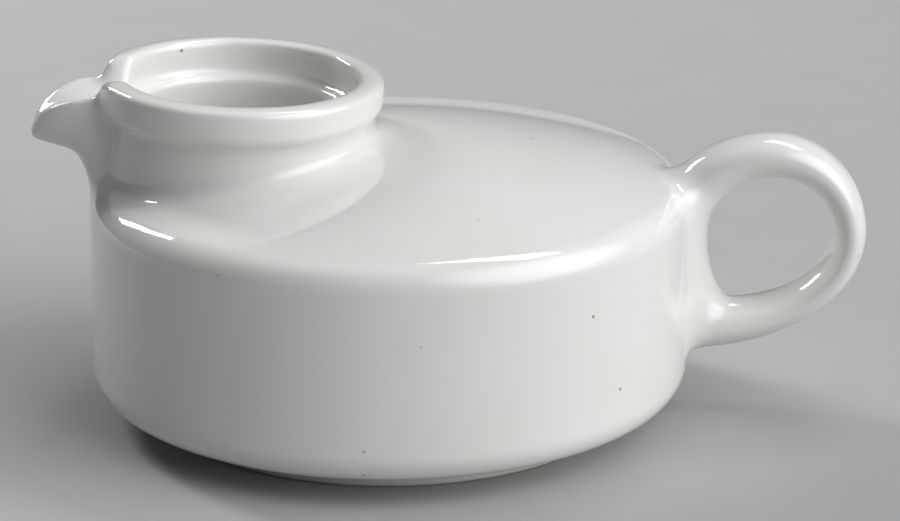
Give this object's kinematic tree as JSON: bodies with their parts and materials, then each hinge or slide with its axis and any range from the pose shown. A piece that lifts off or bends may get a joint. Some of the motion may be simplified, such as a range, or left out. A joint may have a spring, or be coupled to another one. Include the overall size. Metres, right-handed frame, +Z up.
{
  "type": "creamer",
  "caption": "Squat white glazed porcelain creamer: a low-crowned drum with an off-centre rolled-rim neck, a beak spout and a closed loop handle, for pouring cream.",
  "frame": {"origin": "centre of the object's footprint box, on the plane that the foot ring stands on", "axes": "+X from the beak spout towards the handle, +Z up, and the XZ plane is the plane of symmetry"},
  "size_m": [0.1528, 0.11, 0.0653],
  "materials": {
    "foot": "unglazed bearing face, glazed flanks",
    "inside": "glossy",
    "wall": "glossy",
    "shoulder": "glossy",
    "collar": "glossy",
    "rim": "glossy",
    "spout": "glossy",
    "handle": "glossy"
  },
  "bodies": {
    "root": {"foot_ring": "foot", "base": "inside", "drum_wall": "wall", "shoulder": "shoulder", "neck_collar": "collar", "rim_bead": "rim", "spout": "spout", "handle": "handle"}
  },
  "joints": []
}
